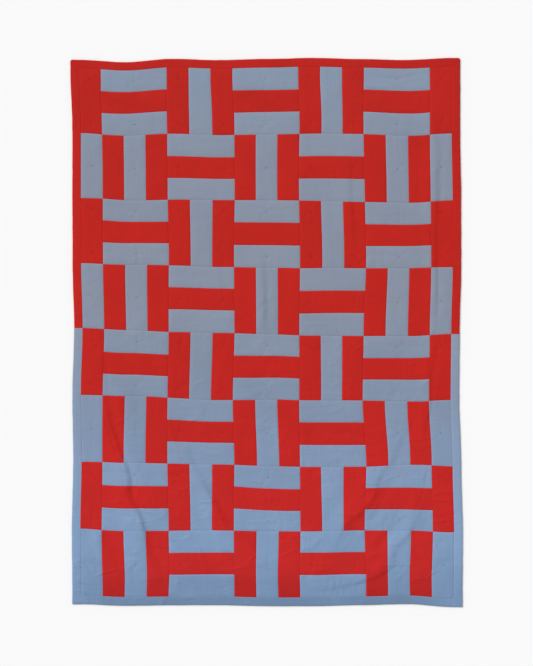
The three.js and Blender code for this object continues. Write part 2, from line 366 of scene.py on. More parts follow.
# Soft folds, each with its path of (u, v) places and the rise of its ridge there. A fold dies
# out within left and right of its path, in rails, seen from the first place towards the last.
# Most fall steeply on the side away from the light and rise gently on the other.
def foldRows(rows):
    return [{"path": path, "rise": rise, "left": left, "right": right} for path, rise, left, right in rows]


folds = foldRows([
    # left: the long one, its upper end, its lower end, and one beside it
    ([(1.2, 8.6), (1.5, 7.2), (2.1, 5.0), (2.75, 3.3), (3.0, 2.2)], 0.0062, 0.34, 1.3),
    ([(0.7, 11.5), (0.9, 10.2), (1.2, 8.2)], 0.0021, 0.34, 1.0),
    ([(2.7, 3.7), (3.0, 2.2), (3.2, 1.2), (3.35, 0.5)], 0.0038, 0.36, 1.1),
    ([(1.5, 10.4), (1.8, 8.4), (2.35, 6.2), (3.0, 4.5), (3.75, 2.9)], 0.0038, 1.0, 0.42),
    # foot: left of centre, one beside it, and one on the right
    ([(4.75, 7.3), (4.95, 6.2), (5.8, 4.5), (6.8, 3.15), (8.0, 2.1), (9.3, 1.35)], 0.0063, 0.30, 0.9),
    ([(5.55, 6.3), (6.35, 4.8), (7.3, 3.55), (8.4, 2.7)], 0.0032, 0.9, 0.36),
    ([(14.7, 7.8), (14.0, 6.4), (13.15, 4.6), (12.05, 3.1), (11.3, 2.1)], 0.0042, 0.38, 1.1),
    # round the right corner, along the foot, and at the left corner
    ([(15.6, 4.6), (15.2, 3.6), (14.5, 2.4), (13.9, 1.5), (13.2, 0.85), (12.0, 0.5), (10.6, 0.35)],
     0.0042, 0.36, 0.7),
    ([(1.2, 1.05), (5.0, 0.95), (9.0, 0.9), (12.5, 1.0)], 0.0060, 1.5, 0.9),
    ([(0.5, 3.6), (0.9, 2.4), (1.6, 1.3)], 0.0045, 0.5, 0.8),
    # down the right side, upper and lower, and at the upper right
    ([(16.15, 21.6), (16.2, 17.0), (16.1, 12.4)], 0.0040, 0.22, 0.7),
    ([(16.1, 11.8), (16.0, 9.4), (15.6, 7.0)], 0.0022, 0.24, 0.7),
    ([(12.1, 20.0), (12.2, 18.0), (12.35, 15.8)], 0.0032, 0.28, 0.8),
    # centre, and one beside it
    ([(8.2, 15.6), (8.3, 13.8), (8.42, 11.9)], 0.0032, 0.28, 0.8),
    ([(8.85, 15.2), (8.95, 12.4)], 0.0018, 0.6, 0.36),
])

# Narrow creases on top of the folds.
creases = foldRows([
    ([(1.25, 9.0), (1.7, 7.2), (2.3, 5.2), (2.95, 3.5), (3.25, 2.0)], -0.0016, 0.16, 0.14),
    ([(1.0, 8.4), (1.35, 6.9), (1.75, 5.6)], 0.0010, 0.12, 0.14),
    ([(3.3, 2.6), (3.6, 1.5), (3.75, 0.6)], -0.0014, 0.15, 0.15),
    ([(2.5, 4.0), (3.3, 2.4), (4.1, 1.4)], 0.0012, 0.16, 0.18),
    ([(5.2, 6.0), (6.0, 4.35), (7.0, 3.0), (8.0, 2.3)], -0.0013, 0.15, 0.13),
    ([(5.9, 5.6), (6.7, 4.4), (7.5, 3.7)], 0.0010, 0.14, 0.16),
    ([(4.6, 3.2), (5.3, 2.2), (5.7, 1.0)], 0.0014, 0.16, 0.2),
    ([(6.9, 2.3), (8.0, 1.5), (9.4, 1.1)], 0.0013, 0.2, 0.16),
    ([(14.2, 6.5), (13.4, 4.7), (12.3, 3.2), (11.5, 2.2)], -0.0011, 0.13, 0.15),
    ([(15.95, 6.5), (15.7, 5.0), (15.1, 3.4)], -0.0013, 0.13, 0.15),
    ([(13.9, 5.2), (13.1, 3.8), (12.4, 2.9)], 0.0010, 0.14, 0.13),
    ([(14.3, 1.5), (13.5, 0.8), (12.2, 0.35), (10.8, 0.18)], -0.0015, 0.16, 0.15),
    ([(14.9, 1.5), (14.4, 0.9), (13.6, 0.4)], 0.0013, 0.13, 0.14),
    ([(12.2, 2.1), (13.0, 1.8), (13.8, 1.9)], 0.0014, 0.2, 0.2),
    ([(11.2, 3.0), (10.3, 2.2), (9.2, 1.8)], 0.0012, 0.18, 0.2),
    ([(0.3, 3.4), (0.8, 2.7), (1.5, 2.5)], 0.0013, 0.14, 0.16),
    ([(0.2, 2.5), (0.6, 1.8), (1.2, 1.6)], 0.0013, 0.14, 0.16),
    ([(0.2, 1.6), (0.5, 1.0), (1.0, 0.7)], -0.0013, 0.14, 0.12),
    ([(1.9, 1.6), (2.2, 1.0), (2.3, 0.4)], 0.0012, 0.14, 0.16),
    ([(16.0, 2.6), (16.3, 2.0), (16.8, 1.8)], 0.0012, 0.13, 0.14),
    ([(15.4, 2.2), (15.9, 1.3), (16.4, 0.9)], 0.0012, 0.14, 0.14),
    ([(16.45, 20.9), (16.45, 17.9)], -0.0010, 0.12, 0.12),
    ([(16.4, 16.9), (16.3, 12.4)], -0.0012, 0.12, 0.12),
    ([(16.3, 11.7), (16.2, 9.5), (15.8, 7.4)], -0.0011, 0.12, 0.12),
    ([(13.2, 23.72), (14.7, 23.62), (16.0, 23.7)], -0.0014, 0.12, 0.12),
    ([(12.9, 23.3), (14.2, 23.2)], 0.0010, 0.13, 0.13),
    ([(10.6, 8.9), (11.4, 8.5), (12.1, 8.6)], 0.0011, 0.16, 0.16),
    ([(3.9, 8.9), (4.3, 7.4), (4.4, 6.2)], 0.0011, 0.15, 0.17),
    ([(9.4, 7.2), (9.7, 5.8)], 0.0010, 0.15, 0.15),
])

# Parts of the quilt that are crumpled into small ripples, each round a middle. The ripples run at
# a turn in degrees, and pitch is how many there are in a rail along that way and across it.
crumples = [
    {"middle": (8.2, 9.6), "turn": 6, "size": (1.4, 2.6), "rise": 0.0015, "pitch": (1.4, 4.4)},
    {"middle": (4.9, 6.0), "turn": -12, "size": (1.2, 1.9), "rise": 0.0013, "pitch": (1.6, 4.2)},
    {"middle": (12.2, 7.0), "turn": 10, "size": (1.3, 1.8), "rise": 0.0013, "pitch": (1.5, 4.0)},
    {"middle": (9.4, 5.2), "turn": 0, "size": (2.2, 1.6), "rise": 0.0012, "pitch": (1.3, 3.4)},
    {"middle": (13.2, 2.8), "turn": 52, "size": (2.6, 1.7), "rise": 0.0022, "pitch": (1.0, 3.0)},
    {"middle": (15.6, 1.6), "turn": 20, "size": (1.3, 1.6), "rise": 0.0018, "pitch": (2.0, 3.2)},
    {"middle": (5.2, 2.6), "turn": -48, "size": (2.2, 1.9), "rise": 0.0021, "pitch": (1.1, 2.6)},
    {"middle": (8.8, 1.9), "turn": -20, "size": (2.6, 1.2), "rise": 0.0018, "pitch": (1.3, 2.8)},
    {"middle": (1.2, 2.0), "turn": -35, "size": (1.7, 1.8), "rise": 0.0022, "pitch": (1.6, 3.0)},
]


def smooth(at, low, high):
    share = np.clip((at - low) / (high - low), 0, 1)
    return share * share * (3 - 2 * share)


def softNoise(x, y, seed):
    # runs smoothly from -1 to 1 between whole numbers, where each corner draws its own value
    column, row = np.floor(x), np.floor(y)
    s, t = smooth(x - column, 0, 1), smooth(y - row, 0, 1)

    def corner(a, b):
        value = np.sin(a * 12.9898 + b * 78.233 + seed * 37.719) * 43758.5453
        return (value - np.floor(value)) * 2 - 1

    lower = corner(column, row) * (1 - s) + corner(column + 1, row) * s
    upper = corner(column, row + 1) * (1 - s) + corner(column + 1, row + 1) * s
    return lower * (1 - t) + upper * t


def readEdge(edge, at):
    places, sizes = np.array(unevenness["at"]), np.array(unevenness[edge])
    at = np.clip(at, 0, 1)
    after = np.clip(np.searchsorted(places, at), 1, len(places) - 1)
    share = smooth(at, places[after - 1], places[after])
    return sizes[after - 1] * (1 - share) + sizes[after] * share


def inset(u, v):
    return np.minimum(np.minimum(u, railsAcross - u), np.minimum(v, railsAlong - v))


def layOut(u, v):
    acrossShare = u / railsAcross
    down = 1 - v / railsAlong
    middle = readEdge("middle", acrossShare)
    end = np.where(v < middleSeam, -readEdge("foot", acrossShare), readEdge("head", acrossShare))
    fromMiddle = np.abs(v - middleSeam) / middleSeam
    sides = -readEdge("left", down) * (1 - acrossShare) + readEdge("right", down) * acrossShare
    x = (u - railsAcross / 2) * quilt["railWidth"] + sides
    y = (v - middleSeam) * quilt["railWidth"] + middle * (1 - fromMiddle) + end * fromMiddle
    return x, y


def outlineMiddle():
    us = np.arange(railsAcross + 1.0)
    vs = np.arange(railsAlong + 1.0)
    reach = bindingReach
    places = [(u, v) for u in us for v in (-reach, railsAlong + reach)]
    places += [(u, v) for v in vs for u in (-reach, railsAcross + reach)]
    places += [(u, v) for u in (-reach, railsAcross + reach) for v in (-reach, railsAlong + reach)]
    x, y = layOut(*np.array(places).T)
    return (x.min() + x.max()) / 2, (y.min() + y.max()) / 2


middleX, middleY = outlineMiddle()

# The seams wander a little between the edges, as hand-pieced ones do, and more towards the foot.
# The two pitches are how many rails one swing takes, along a seam and from seam to seam.
wander = {
    "across": 0.0042,
    "along": 0.0040,
    "pitchAlongSeam": 3.1,
    "pitchToNextSeam": 2.2,
    "freeFrom": 1.5,
    "more": 0.5,
    "moreFrom": 14,
    "mostFrom": 6,
}


def place(u, v):
    x, y = layOut(u, v)
    more = 1 + wander["more"] * smooth(v, wander["moreFrom"], wander["mostFrom"])
    free = smooth(inset(u, v), 0, wander["freeFrom"]) * more
    slow, quick = wander["pitchAlongSeam"], wander["pitchToNextSeam"]
    x = x + wander["across"] * free * softNoise(u / quick, v / slow, 3)
    y = y + wander["along"] * free * softNoise(u / slow, v / quick, 8)
    return x - middleX, y - middleY


# No fold runs quite straight, keeps its height, or ends at once.
unsteady = {"rise": 0.4, "length": 1.3, "sway": 0.14, "swayPitch": 0.9, "endFade": (-0.12, 0.28)}


def ridge(u, v, fold):
    corners = np.array(fold["path"], float)
    steps = np.diff(corners, axis=0)
    lengths = np.hypot(steps[:, 0], steps[:, 1])
    starts = np.concatenate([[0], np.cumsum(lengths)])[:-1]
    nearest = np.full(u.shape, np.inf)
    side = np.zeros(u.shape)
    along = np.zeros(u.shape)
    for corner, step, length, start in zip(corners[:-1], steps, lengths, starts):
        du, dv = u - corner[0], v - corner[1]
        share = np.clip((du * step[0] + dv * step[1]) / length**2, 0, 1)
        away = np.hypot(du - share * step[0], dv - share * step[1])
        closer = away < nearest
        nearest = np.where(closer, away, nearest)
        side = np.where(closer, step[0] * dv - step[1] * du, side)
        along = np.where(closer, (start + share * length) / lengths.sum(), along)
    reach = np.where(side > 0, fold["left"], fold["right"])
    form = (1 + np.cos(np.pi * np.clip(nearest / reach, 0, 1))) / 2
    swing = softNoise(along * lengths.sum() / unsteady["length"], 0 * along, corners[0, 0])
    uneven = 1 + unsteady["rise"] * swing
    return fold["rise"] * uneven * form * smooth(np.minimum(along, 1 - along), *unsteady["endFade"])


def sway(u, v):
    pitch = unsteady["swayPitch"]
    swayedU = u + unsteady["sway"] * softNoise(u * pitch, v * pitch, 23)
    return swayedU, v + unsteady["sway"] * softNoise(u * pitch, v * pitch, 29)


def foldHeight(u, v):
    swayed = sway(u, v)
    height = sum(ridge(*swayed, fold) for fold in folds)
    return height * smooth(inset(u, v), 0, 1)


# The filling is never quite even: soft lumps of three sizes, with their swings to a rail.
lumps = [
    {"rise": 0.0006, "pitch": (1.3, 1.1), "seed": 11},
    {"rise": 0.0004, "pitch": (2.9, 3.1), "seed": 14},
    {"rise": 0.0002, "pitch": (5.7, 6.1), "seed": 17},
]


def crumpleHeight(u, v, c):
    turn = math.radians(c["turn"])
    du, dv = u - c["middle"][0], v - c["middle"][1]
    along = du * math.cos(turn) + dv * math.sin(turn)
    across = dv * math.cos(turn) - du * math.sin(turn)
    strength = np.exp(-((along / c["size"][0]) ** 2) - (across / c["size"][1]) ** 2)
    return c["rise"] * strength * softNoise(along * c["pitch"][0], across * c["pitch"][1], 5)


def creaseHeight(u, v):
    swayed = sway(u, v)
    height = sum(ridge(*swayed, crease) for crease in creases)
    for crumple in crumples:
        height = height + crumpleHeight(u, v, crumple)
    for lump in lumps:
        pitchU, pitchV = lump["pitch"]
        height = height + lump["rise"] * softNoise(u * pitchU, v * pitchV, lump["seed"])
    return height * smooth(inset(u, v), -0.1, 0.35)


# How the patches stand: puffed up from their seams by the filling, and pulled down at the ties,
# with small wrinkles that run off each tie.
puff = {
    "seamHeight": 0.0040,
    "sharpRise": 0.0013,
    "sharpReach": 0.0024,
    "softRise": 0.0011,
    "softReach": 0.014,
    "pressedRise": 0.00030,
    "pressedWidth": (0.00512, 0.00768),
    "tieDepth": 0.0009,
    "tieWidth": 0.012,
    "tieWrinkle": 0.00035,
    "tieWrinkleOut": 0.024,
    "tieWrinkleWidth": 0.015,
}


def tieGap(u, v):
    # how far the nearest tie is and which way, and a number that is its own
    firstU, firstV = quilt["firstTie"]
    spacing = quilt["tieSpacing"]
    column = np.clip(np.round((u - firstU) / spacing), 0, (railsAcross - 1) // spacing)
    row = np.clip(np.round((v - firstV) / spacing), 0, (railsAlong - 1.5) // spacing)
    du, dv = u - firstU - column * spacing, v - firstV - row * spacing
    return np.hypot(du, dv) * quilt["railWidth"], np.arctan2(dv, du), column * 7 + row * 3


def topHeight(u, v, seam, pressed):
    height = puff["seamHeight"] + foldHeight(u, v) + creaseHeight(u, v)
    height = height + puff["sharpRise"] * (1 - np.exp(-seam / puff["sharpReach"]))
    height = height + puff["softRise"] * (1 - np.exp(-seam / puff["softReach"]))
    if pressed:  # the seam allowances lie under the darker cloth
        height = height + puff["pressedRise"] * (1 - smooth(seam, *puff["pressedWidth"]))
    gap, angle, number = tieGap(u, v)
    height = height - puff["tieDepth"] * np.exp(-((gap / puff["tieWidth"]) ** 2))
    rays = np.cos(5 * angle + number) + 0.6 * np.cos(3 * angle + 2 * number)
    ring = np.exp(-(((gap - puff["tieWrinkleOut"]) / puff["tieWrinkleWidth"]) ** 2))
    return height + puff["tieWrinkle"] * rays * ring


sharpAngle = math.radians(55)  # edges that turn by more than this are drawn sharp


def makePiece(name, points, faces, material, weaveMap=None, seam=None, tone=None):
    mesh = bpy.data.meshes.new(name)
    mesh.from_pydata(points.tolist(), [], faces.tolist())
    corners = np.empty(len(mesh.loops), int)
    mesh.loops.foreach_get("vertex_index", corners)
    if weaveMap is not None:
        layer = mesh.uv_layers.new(name="weave")
        layer.data.foreach_set("uv", weaveMap[corners].astype(np.float32).ravel())
    for attribute, values, otherwise in (("seam", seam, 1.0), ("tone", tone, 0.0)):
        values = np.full(len(points), otherwise) if values is None else values
        mesh.attributes.new(attribute, "FLOAT", "POINT").data.foreach_set("value", values.astype(np.float32))
    mesh.materials.append(material)
    mesh.update()
    mesh.shade_smooth()
    mesh.set_sharp_from_angle(angle=sharpAngle)
    piece = bpy.data.objects.new(name, mesh)
    bpy.context.scene.collection.objects.link(piece)
    return piece


def slabFaces(columns, rows):
    # a closed slab from two grids of points, the upper one first
    count = columns * rows

    def at(i, j):
        return j * columns + i

    i, j = np.meshgrid(np.arange(columns - 1), np.arange(rows - 1))
    i, j = i.ravel(), j.ravel()
    upper = np.stack([at(i, j), at(i + 1, j), at(i + 1, j + 1), at(i, j + 1)], axis=1)
    lower = upper[:, ::-1] + count
    ring = [at(i, 0) for i in range(columns - 1)]
    ring += [at(columns - 1, j) for j in range(rows - 1)]
    ring += [at(i, rows - 1) for i in range(columns - 1, 0, -1)]
    ring += [at(0, j) for j in range(rows - 1, 0, -1)]
    ring = np.array(ring)
    following = np.roll(ring, -1)
    walls = np.stack([ring, ring + count, following + count, following], axis=1)
    return np.concatenate([upper, lower, walls])


# The patches. Their cloth is cut where the grid of rails says, and each is a thin sheet of its own.
patches = {
    "thickness": 0.0008,
    "halfGap": 0.0001,
    "underBinding": 0.008,
    "edgeCells": [0, 0.0011, 0.0026, 0.005, 0.009],
    "innerCell": 0.0053,
    "toneSpread": 0.008,
}


def railList():
    rails = []
    perBlock = quilt["railsPerBlock"]
    for row in range(quilt["blocksAlong"]):
        v = row * perBlock
        for column in range(quilt["blocksAcross"]):
            u = quilt["sideStrips"] + column * perBlock
            runsAcross = (row + column) % 2 == 1
            for n in range(perBlock):
                red = (n == 1) == runsAcross
                start = (u, v + n) if runsAcross else (u + n, v)
                rails.append({"start": start, "runsAcross": runsAcross, "red": red})
        besideAcross = row % 2 == 1
        for u in (0, railsAcross - 1):
            rails.append({"start": (u, v), "runsAcross": False, "red": besideAcross})
    return rails


def patchLines(size):
    edge = patches["edgeCells"]
    count = round((size - 2 * edge[-1]) / patches["innerCell"])
    inner = np.linspace(edge[-1], size - edge[-1], count + 1)
    lines = np.concatenate([edge[:-1], inner, [size - a for a in edge[-2::-1]]])
    return np.clip(lines, patches["halfGap"], size - patches["halfGap"])


def tuckUnder(at, count):
    # where the binding covers its edge, a patch reaches a little way under it
    edge = patches["halfGap"] / quilt["railWidth"]
    under = patches["underBinding"] / quilt["railWidth"]
    return np.where(at < 2 * edge, -under, np.where(at > count - 2 * edge, count + under, at))


def railPatch(rail, seed):
    width = quilt["railWidth"]
    length = quilt["railsPerBlock"] * width
    across, along = patchLines(width), patchLines(length)
    su, sv = (along, across) if rail["runsAcross"] else (across, along)
    sizeU, sizeV = su[-1] + patches["halfGap"], sv[-1] + patches["halfGap"]
    s, t = (grid.ravel() for grid in np.meshgrid(su, sv))
    seam = np.minimum(np.minimum(s, sizeU - s), np.minimum(t, sizeV - t))
    u = tuckUnder(rail["start"][0] + s / width, railsAcross)
    v = tuckUnder(rail["start"][1] + t / width, railsAlong)
    x, y = place(u, v)
    z = topHeight(u, v, seam, rail["red"])
    upper = np.stack([x, y, z], axis=1)
    lower = upper - [0, 0, patches["thickness"]]
    # each patch is cut from its own place on the cloth, and is a shade lighter or darker
    weaveMap = np.stack([s, t] if rail["runsAcross"] else [t, s], axis=1)
    weaveMap = weaveMap + [seed * 0.731 % 5, seed * 0.377 % 3]
    tone = patches["toneSpread"] * math.sin(seed * 91.7)
    return {
        "points": np.concatenate([upper, lower]),
        "faces": slabFaces(len(su), len(sv)),
        "weaveMap": np.concatenate([weaveMap, weaveMap]),
        "seam": np.concatenate([seam, seam]),
        "tone": np.full(2 * len(s), tone),
    }


def joinPatches(name, parts, material):
    shifts = np.cumsum([0] + [len(part["points"]) for part in parts[:-1]])
    faces = np.concatenate([part["faces"] + shift for part, shift in zip(parts, shifts)])
    points, weaveMap, seam, tone = (
        np.concatenate([part[key] for part in parts]) for key in ("points", "weaveMap", "seam", "tone")
    )
    return makePiece(name, points, faces, material, weaveMap, seam, tone)


rails = railList()
sewnPatches = [railPatch(rail, seed) for seed, rail in enumerate(rails)]


def inHalf(rail, red, upper):
    return rail["red"] == red and (rail["start"][1] >= middleSeam) == upper


def halfTop(name, red, upper):
    parts = [patch for patch, rail in zip(sewnPatches, rails) if inHalf(rail, red, upper)]
    return joinPatches(name, parts, redCotton if red else blueCotton)


redUpper = halfTop("redRailsUpper", True, True)
redLower = halfTop("redRailsLower", True, False)
blueUpper = halfTop("blueRailsUpper", False, True)
blueLower = halfTop("blueRailsLower", False, False)
print("patches cut:", len(rails))


# The filling and the back, one soft slab under the patches that reaches into the binding.
body = {
    "cell": 0.125,
    "reach": 0.0310,
    "topHeight": 0.0021,
    "rimHeight": 0.0040,
    "rimFrom": (-0.1, 0.05),
    "backRimHeight": 0.0013,
    "backRimFrom": 0.5,
}


def slabLines(rails, reach):
    inside = np.arange(0, rails + body["cell"] / 2, body["cell"])
    return np.concatenate([[-reach, -reach / 2], inside, [rails + reach / 2, rails + reach]])


def backHeight(u, v):
    rim = 1 - smooth(inset(u, v), 0, body["backRimFrom"])
    return foldHeight(u, v) + body["backRimHeight"] * rim


def quiltBody():
    reach = body["reach"] / quilt["railWidth"]
    us, vs = slabLines(railsAcross, reach), slabLines(railsAlong, reach)
    u, v = (grid.ravel() for grid in np.meshgrid(us, vs))
    x, y = place(u, v)
    rim = 1 - smooth(inset(u, v), *body["rimFrom"])
    top = foldHeight(u, v) + np.minimum(creaseHeight(u, v), 0) * (1 - rim)
    top = top + body["topHeight"] + (body["rimHeight"] - body["topHeight"]) * rim
    upper = np.stack([x, y, top], axis=1)
    lower = np.stack([x, y, backHeight(u, v)], axis=1)
    points = np.concatenate([upper, lower])
    weaveMap = points[:, :2]
    return makePiece("fillingAndBack", points, slabFaces(len(us), len(vs)), blueCotton, weaveMap)


fillingAndBack = quiltBody()
print("filling and back laid")


# The binding: cloth folded round the edge. Out is measured from its sewn edge, and outer and
# inner are the two faces of the cloth at that place along its section.
bindingCloth = {
    "step": 0.010,
    "endRings": [0, 0.002, 0.004, 0.006, 0.008],
    "gap": 0.00012,
    "rise": 0.00035,
    "ripples": [
        {"share": 1.0, "pitchAlong": 3.1, "pitchOut": 4.0, "seed": 31},
        {"share": 0.6, "pitchAlong": 7.7, "pitchOut": 3.0, "seed": 47},
    ],
    "edgeShift": 0.0006,
    "edgeInwards": 0.6,
    "edgeSwings": [{"share": 0.7, "pitch": 2.3, "seed": 21}, {"share": 0.3, "pitch": 6.1, "seed": 22}],
    "headRadius": 0.0085,
    "footRadius": 0.0015,
    "toneFade": 2.5,
    # painted shade at the head's corners, and how far it reaches
    "paintedCornerShade": -0.055,
    "paintedCornerShadeReach": 1.2,
    "section": [
        {"outer": (0.0000, 0.0051), "inner": (0.0004, 0.0045)},
        {"outer": (0.0010, 0.0055), "inner": (0.0016, 0.0047)},
        {"outer": (0.0035, 0.0058), "inner": (0.0038, 0.0049)},
        {"outer": (0.0090, 0.0060), "inner": (0.0090, 0.0050)},
        {"outer": (0.0170, 0.0060), "inner": (0.0170, 0.0050)},
        {"outer": (0.0240, 0.0060), "inner": (0.0240, 0.0050)},
        {"outer": (0.0300, 0.0058), "inner": (0.0292, 0.0048)},
        {"outer": (0.0333, 0.0051), "inner": (0.0324, 0.0043)},
        {"outer": (0.0347, 0.0040), "inner": (0.0336, 0.0035)},
        {"outer": (0.0350, 0.0028), "inner": (0.0339, 0.0028)},
        {"outer": (0.0345, 0.0017), "inner": (0.0334, 0.0021)},
        {"outer": (0.0328, 0.0007), "inner": (0.0322, 0.0015)},
        {"outer": (0.0295, 0.0001), "inner": (0.0290, 0.0011)},
        {"outer": (0.0200, 0.0000), "inner": (0.0200, 0.0010)},
        {"outer": (0.0100, 0.0000), "inner": (0.0100, 0.0010)},
        {"outer": (0.0000, 0.0000), "inner": (0.0000, 0.0010)},
    ],
}

# Its six strips, from and to in rails along the edge. Tone is how much lighter each one is, and the
# foot's darker tone is painted shade.
bindingStrips = [
    {"name": name, "node": node, "side": side, "from": first, "to": last, "red": red, "tone": tone}
    for name, node, side, first, last, red, tone in (
        ("bindingHead", "binding_head", "head", 0, railsAcross, True, 0.0),
        ("bindingLeftUpper", "binding_left_upper", "left", middleSeam, railsAlong, True, 0.015),
        ("bindingRightUpper", "binding_right_upper", "right", middleSeam, railsAlong, True, -0.02),
        ("bindingLeftLower", "binding_left_lower", "left", 0, middleSeam, False, 0.08),
        ("bindingRightLower", "binding_right_lower", "right", 0, middleSeam, False, 0.08),
        # the foot's tone is painted shade
        ("bindingFoot", "binding_foot", "foot", 0, railsAcross, False, -0.15),
    )
]


def edgePlace(side, along, reach):
    spots = {
        "head": (along, railsAlong + reach),
        "foot": (along, -reach),
        "left": (-reach, along),
        "right": (railsAcross + reach, along),
    }
    return spots[side]


def edgeLength(side):
    return railsAlong if side in ("left", "right") else railsAcross


def bindingLoop():
    # once round the cloth's section: out along its outer face and back along its inner one
    section = bindingCloth["section"]
    return np.array([row["outer"] for row in section] + [row["inner"] for row in section[::-1]])


def ringShares(length):
    # how far along a strip its rings of points stand, closer together near its ends
    step, ends = bindingCloth["step"], bindingCloth["endRings"]
    inner = np.linspace(step, length - step, int(length / step) - 1)
    return np.concatenate([ends, inner, [length - a for a in ends[::-1]]]) / length


def ringPlaces(strip, reach):
    # where each point of each ring is along the edge: an end is mitred at a corner of the quilt
    # and square at the middle seam
    width = quilt["railWidth"]
    total = edgeLength(strip["side"])
    mitre = bindingCloth["gap"] / math.sqrt(2) / width
    half = bindingCloth["gap"] / 2 / width
    start = -reach + mitre if strip["from"] == 0 else np.full(reach.shape, strip["from"] + half)
    end = total + reach - mitre if strip["to"] == total else np.full(reach.shape, strip["to"] - half)
    share = ringShares((strip["to"] - strip["from"]) * width)[:, None]
    return start * (1 - share) + end * share


def cornerRound(away, radius):
    # how far a place near a corner slides along its edge, and how much is cut off there
    slide = radius * (1 - math.sqrt(0.5)) * np.clip(1 - away / radius, 0, 1)
    left = radius - np.clip(away + slide, 0, radius)
    return slide, radius - np.sqrt(radius**2 - left**2)


def fromCorners(strip, along):
    return along + bindingReach, edgeLength(strip["side"]) + bindingReach - along


def stripPoints(strip, seed, along, reach, height):
    width = quilt["railWidth"]
    fromStart, fromEnd = fromCorners(strip, along)
    outwards = np.broadcast_to(reach, along.shape)
    # the corners are a little round, and the front of the fold ripples more than its back
    nose = smooth(outwards, 0.3 * bindingReach, bindingReach)
    startRadius = bindingCloth["headRadius" if strip["side"] == "head" else "footRadius"]
    endRadius = bindingCloth["footRadius" if strip["side"] == "foot" else "headRadius"]
    slideStart, cutStart = cornerRound(fromStart * width, startRadius)
    slideEnd, cutEnd = cornerRound(fromEnd * width, endRadius)
    slide, cut = (slideStart - slideEnd) * nose / width, (cutStart + cutEnd) * nose / width
    swings = bindingCloth["edgeSwings"]
    wobble = sum(w["share"] * softNoise(along * w["pitch"], along * 0 + seed, w["seed"]) for w in swings)
    wobble = wobble - bindingCloth["edgeInwards"]
    awayFromEnds = smooth(np.minimum(fromStart, fromEnd), 0, 0.4)
    shift = bindingCloth["edgeShift"] * wobble * nose / width * awayFromEnds
    x, y = place(*edgePlace(strip["side"], along + slide, outwards + shift - cut))
    front = smooth(np.broadcast_to(height, along.shape), 0.001, 0.005)
    rough = sum(
        r["share"] * softNoise(along * r["pitchAlong"], outwards * r["pitchOut"], seed + r["seed"])
        for r in bindingCloth["ripples"]
    )
    z = height + bindingCloth["rise"] * front * rough * smooth(outwards, -0.02, 0.08)
    return np.stack([x.ravel(), y.ravel(), z.ravel()], axis=1)


def stripFaces(rings, count):
    # the walls from ring to ring, and a cap on each end
    i, j = np.meshgrid(np.arange(count), np.arange(rings - 1))
    i, j = i.ravel(), j.ravel()
    following = (i + 1) % count
    here, there = j * count, (j + 1) * count
    walls = np.stack([here + i, here + following, there + following, there + i], axis=1)
    n = np.arange(count // 2 - 1)
    cap = np.stack([n, count - 1 - n, count - 2 - n, n + 1], axis=1)
    return np.concatenate([walls, cap, cap[:, ::-1] + (rings - 1) * count])


def stripTone(strip, along):
    fromStart, fromEnd = fromCorners(strip, along)
    fromCorner = np.minimum(fromStart, fromEnd)
    # a strip's tone fades out towards the corners; for the foot it is painted shade
    tone = strip["tone"] * smooth(fromCorner, 0, bindingCloth["toneFade"])
    # painted shade darkens the head's corners
    if strip["red"]:  # the head's corners are a little darker
        fromHead = fromCorner if strip["side"] == "head" else fromEnd
        dark = 1 - smooth(fromHead, 0, bindingCloth["paintedCornerShadeReach"])
        tone = tone + bindingCloth["paintedCornerShade"] * dark
    return tone


def bindingStrip(strip, seed):
    width = quilt["railWidth"]
    loop = bindingLoop()
    reach, height = loop[:, 0] / width, loop[:, 1]
    along = ringPlaces(strip, reach)
    faces = stripFaces(*along.shape)
    if strip["side"] in ("head", "left"):
        faces = faces[:, ::-1]
    around = np.concatenate([[0], np.cumsum(np.hypot(*np.diff(loop, axis=0).T))])
    around = np.broadcast_to(around, along.shape)
    weaveMap = np.stack([(along * width).ravel(), around.ravel()], axis=1) + [seed * 0.9, 0]
    seam = np.broadcast_to(np.maximum(loop[:, 0], 0.0005), along.shape).ravel()
    return makePiece(
        strip["name"],
        stripPoints(strip, seed, along, reach, height),
        faces,
        redCotton if strip["red"] else blueCotton,
        weaveMap,
        seam,
        stripTone(strip, along).ravel(),
    )


bindings = [bindingStrip(strip, seed) for seed, strip in enumerate(bindingStrips)]
print("binding folded:", len(bindings), "strips")


# The ties: thread drawn through all the layers, knotted on top and cut off short. A knot is two
# crossed loops, and its two ends lie where heading says, as long as share says.
tie = {
    "Thread radius": 0.00045,
    "Knot radius": 0.0010,
    "Tail length": 0.0055,
    "Tail rise": 0.0018,
    "loops": [{"tilt": 0.45, "turn": 0.0}, {"tilt": -0.5, "turn": 1.4}],
    "ends": [{"heading": 0.35, "share": 1.0}, {"heading": 3.7, "share": 0.8}],
    "smallest": 0.6,
    "largest": 1.05,
    "lift": 0.0005,
    "seed": 4,
}
thread = {
    "brightness": 0.94,
    "grooveShade": 0.12,
    "twistPitch": 0.0012,
    "twistRelief": 0.0002,
    "roughness": 0.85,
    "specular": 0.15,
}


